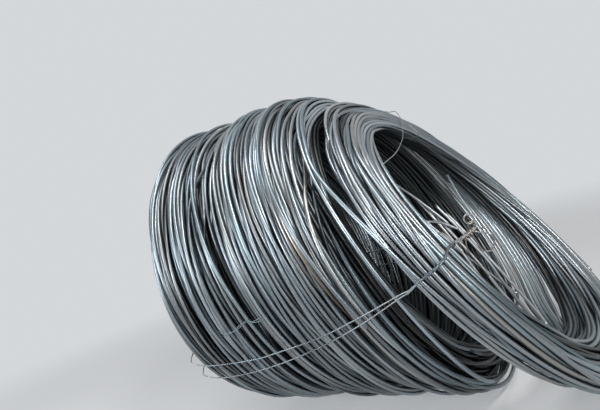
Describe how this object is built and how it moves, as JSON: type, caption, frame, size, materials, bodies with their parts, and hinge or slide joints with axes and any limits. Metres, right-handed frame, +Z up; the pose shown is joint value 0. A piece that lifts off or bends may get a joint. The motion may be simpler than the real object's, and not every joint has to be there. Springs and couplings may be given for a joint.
{
  "type": "coil of wire rod",
  "caption": "Coil of plain steel wire rod on its side, its loops fanned out in leaning lobes round an open bore and held by twisted tie wires.",
  "frame": {"origin": "centre of the bounding box, at its foot, on the floor that the loops stand on", "axes": "+X along the coil's lying axis, towards the face that leans back most, +Y away from the side with the doubled tie, +Z up"},
  "size_m": [1.1268, 1.0599, 1.0366],
  "materials": {
    "rod_steel": "smooth drawn grey steel with faint scale",
    "tie_steel": "soft annealed tie wire, bright grey"
  },
  "bodies": {
    "root": {"wire_coil": "rod_steel", "tie_wire": "tie_steel", "upper_tie": "tie_steel"}
  },
  "joints": []
}
